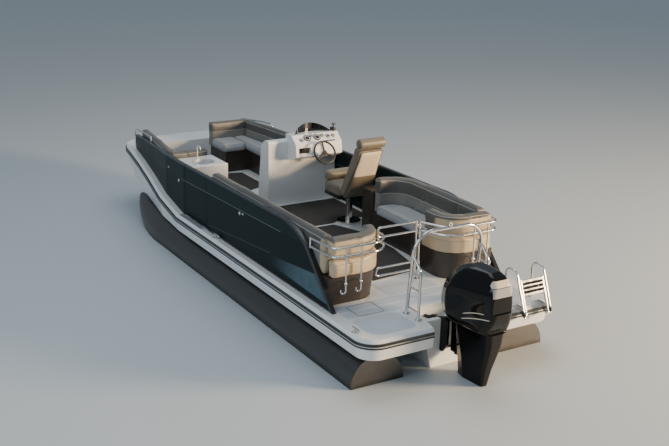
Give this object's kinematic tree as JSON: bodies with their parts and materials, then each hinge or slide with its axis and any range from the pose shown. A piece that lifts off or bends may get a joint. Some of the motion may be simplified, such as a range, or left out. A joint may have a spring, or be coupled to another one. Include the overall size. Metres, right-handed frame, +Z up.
{
  "type": "pontoon boat with outboard motor",
  "caption": "Tritoon pontoon boat with moulded upswept deck, dark side panels, lounges, helm console, tow arch, gates, boarding ladder and tilting outboard motor.",
  "frame": {"origin": "on the centre plane at the waterline, below the stern edge of the rub rail", "axes": "+X starboard, +Y to the bow, +Z up"},
  "size_m": [2.5921, 8.3043, 2.4442],
  "materials": {
    "tube_metal": "satin",
    "gelcoat": "gloss",
    "rub_black": "satin",
    "mat": "matte",
    "panel_dark": "gloss",
    "trim_black": "satin",
    "stainless": "polished",
    "base_brown": "satin",
    "vinyl_tan": "satin",
    "vinyl_taupe": "satin",
    "vinyl_grey": "satin",
    "smoked": "gloss",
    "gauge": "satin",
    "motor_black": "gloss",
    "steel": "satin",
    "hose": "matte"
  },
  "bodies": {
    "hull": {"pontoons": "tube_metal", "pontoon_risers": "tube_metal", "crossmembers": "tube_metal", "deck": "gelcoat", "rub_rail": "rub_black", "motor_pod": "gelcoat", "floor_mats": "mat", "side_panel_port_aft": "panel_dark", "side_panel_port_fwd": "panel_dark", "side_panel_starboard": "panel_dark", "panel_caps": "trim_black", "aft_pillars": "trim_black", "panel_fittings": "stainless", "cleats": "stainless", "port_lounge_base": "base_brown", "port_lounge_shell": "vinyl_tan", "port_lounge_backs": "vinyl_taupe", "port_lounge_pads": "vinyl_grey", "starboard_lounge_base": "base_brown", "starboard_lounge_shell": "vinyl_tan", "starboard_lounge_backs": "vinyl_taupe", "starboard_lounge_pads": "vinyl_grey", "storage_cabinet": "base_brown", "bow_port_base": "base_brown", "bow_port_backs": "vinyl_taupe", "bow_port_pads": "vinyl_grey", "bow_starboard_base": "base_brown", "bow_starboard_backs": "vinyl_taupe", "bow_starboard_pads": "vinyl_grey", "sink_cabinet": "gelcoat", "sink_bowl": "stainless", "helm_console": "gelcoat", "dash_gauges": "gauge", "throttle": "trim_black", "windshield": "smoked", "seat_pedestal": "stainless", "aft_rail_port": "stainless", "aft_rail_starboard": "stainless", "tow_arch": "stainless", "bow_rails": "stainless", "ladder_mount": "stainless", "motor_clamp": "motor_black", "rigging_hoses": "hose"},
    "port_gate": {"port_gate": "panel_dark", "port_gate_cap": "trim_black"},
    "aft_gate": {"aft_gate": "stainless"},
    "ladder": {"boarding_ladder": "stainless"},
    "helm_seat": {"helm_seat_shell": "trim_black", "helm_back_panel": "vinyl_tan", "helm_seat_cushions": "vinyl_taupe"},
    "steering_wheel": {"steering_wheel": "trim_black"},
    "motor_tilt": {"motor_swivel": "motor_black"},
    "motor_steer": {"motor_leg": "motor_black", "motor_cowl": "motor_black", "powerhead": "steel"},
    "propeller": {"propeller": "steel"}
  },
  "joints": [
    {"name": "port_gate_hinge", "type": "hinge", "parent": "hull", "child": "port_gate", "pos_m": [-1.118, 4.8, 0.96], "axis": [0, 0, 1], "range_deg": [0, 90]},
    {"name": "aft_gate_hinge", "type": "hinge", "parent": "hull", "child": "aft_gate", "pos_m": [0.262, 1.31, 1.01], "axis": [0, 0, -1], "range_deg": [0, 90]},
    {"name": "ladder_hinge", "type": "hinge", "parent": "hull", "child": "ladder", "pos_m": [0.89, -0.1, 0.55], "axis": [1, 0, 0], "range_deg": [0, 201.5]},
    {"name": "helm_seat_swivel", "type": "hinge", "parent": "hull", "child": "helm_seat", "pos_m": [0.7, 3.56, 0.97], "axis": [0, 0, 1], "range_deg": [-180, 180]},
    {"name": "steering_wheel_turn", "type": "hinge", "parent": "hull", "child": "steering_wheel", "pos_m": [0.7, 4.235, 1.415], "axis": [0, -0.848, 0.5299], "range_deg": [-720, 720]},
    {"name": "motor_tilt", "type": "hinge", "parent": "hull", "child": "motor_tilt", "pos_m": [0, 0.2, 0.59], "axis": [-1, 0, 0], "range_deg": [-4, 54]},
    {"name": "motor_steering", "type": "hinge", "parent": "motor_tilt", "child": "motor_steer", "pos_m": [0, 0.145, 0.41], "axis": [0, 0, 1], "range_deg": [-30, 30]},
    {"name": "propeller_spin", "type": "hinge", "parent": "motor_steer", "child": "propeller", "pos_m": [0, -0.385, -0.32], "axis": [0, 1, 0], "continuous": true}
  ],
  "couplings": [
    {"joint": "steering_wheel_turn", "follows": "motor_steering", "ratio": -24}
  ]
}
